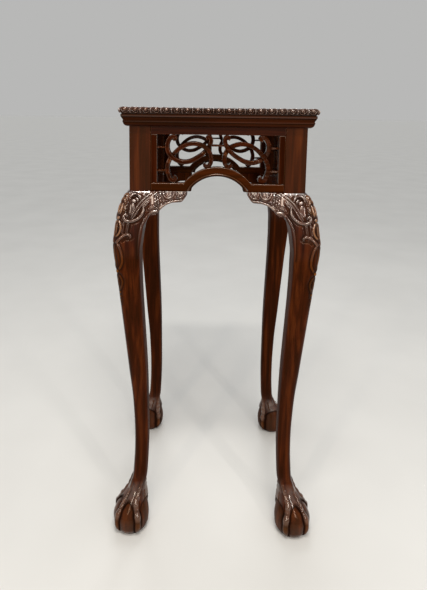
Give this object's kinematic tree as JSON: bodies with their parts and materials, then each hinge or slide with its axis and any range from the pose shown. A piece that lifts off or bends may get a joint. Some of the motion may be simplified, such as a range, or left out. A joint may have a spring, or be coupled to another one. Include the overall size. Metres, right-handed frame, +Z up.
{
  "type": "tall square stand",
  "caption": "Tall square wooden stand on cabriole legs with claw-and-ball feet, carved knees, pierced fret aprons and a carved top edge; it holds a plant, lamp or ornament.",
  "frame": {"origin": "middle of the floor under the top", "axes": "+Z up, the front faces -Y, +X to the right seen from the front"},
  "size_m": [0.3956, 0.3956, 0.836],
  "materials": {
    "polished_mahogany": "dark red-brown French polish, glossy",
    "carved_mahogany": "dark red-brown polish over carving, darker in the hollows",
    "plain_hardwood": "bare planed hardwood, dull",
    "screw_steel": "plain steel, satin"
  },
  "bodies": {
    "root": {"top_panel": "polished_mahogany", "edge_moulding_front": "carved_mahogany", "cornice_front": "polished_mahogany", "top_rail_front": "polished_mahogany", "arched_rail_front": "polished_mahogany", "arch_bead_front": "polished_mahogany", "fret_front": "polished_mahogany", "stile_front_a": "polished_mahogany", "knee_bracket_front_a": "carved_mahogany", "stile_front_b": "polished_mahogany", "knee_bracket_front_b": "carved_mahogany", "edge_moulding_right": "carved_mahogany", "cornice_right": "polished_mahogany", "top_rail_right": "polished_mahogany", "arched_rail_right": "polished_mahogany", "arch_bead_right": "polished_mahogany", "fret_right": "polished_mahogany", "stile_right_a": "polished_mahogany", "knee_bracket_right_a": "carved_mahogany", "stile_right_b": "polished_mahogany", "knee_bracket_right_b": "carved_mahogany", "edge_moulding_rear": "carved_mahogany", "cornice_rear": "polished_mahogany", "top_rail_rear": "polished_mahogany", "arched_rail_rear": "polished_mahogany", "arch_bead_rear": "polished_mahogany", "fret_rear": "polished_mahogany", "stile_rear_a": "polished_mahogany", "knee_bracket_rear_a": "carved_mahogany", "stile_rear_b": "polished_mahogany", "knee_bracket_rear_b": "carved_mahogany", "edge_moulding_left": "carved_mahogany", "cornice_left": "polished_mahogany", "top_rail_left": "polished_mahogany", "arched_rail_left": "polished_mahogany", "arch_bead_left": "polished_mahogany", "fret_left": "polished_mahogany", "stile_left_a": "polished_mahogany", "knee_bracket_left_a": "carved_mahogany", "stile_left_b": "polished_mahogany", "knee_bracket_left_b": "carved_mahogany", "leg_front_left": "carved_mahogany", "corner_block_front_left": "plain_hardwood", "top_screw_front_left": "screw_steel", "leg_front_right": "carved_mahogany", "corner_block_front_right": "plain_hardwood", "top_screw_front_right": "screw_steel", "leg_rear_right": "carved_mahogany", "corner_block_rear_right": "plain_hardwood", "top_screw_rear_right": "screw_steel", "leg_rear_left": "carved_mahogany", "corner_block_rear_left": "plain_hardwood", "top_screw_rear_left": "screw_steel"}
  },
  "joints": []
}
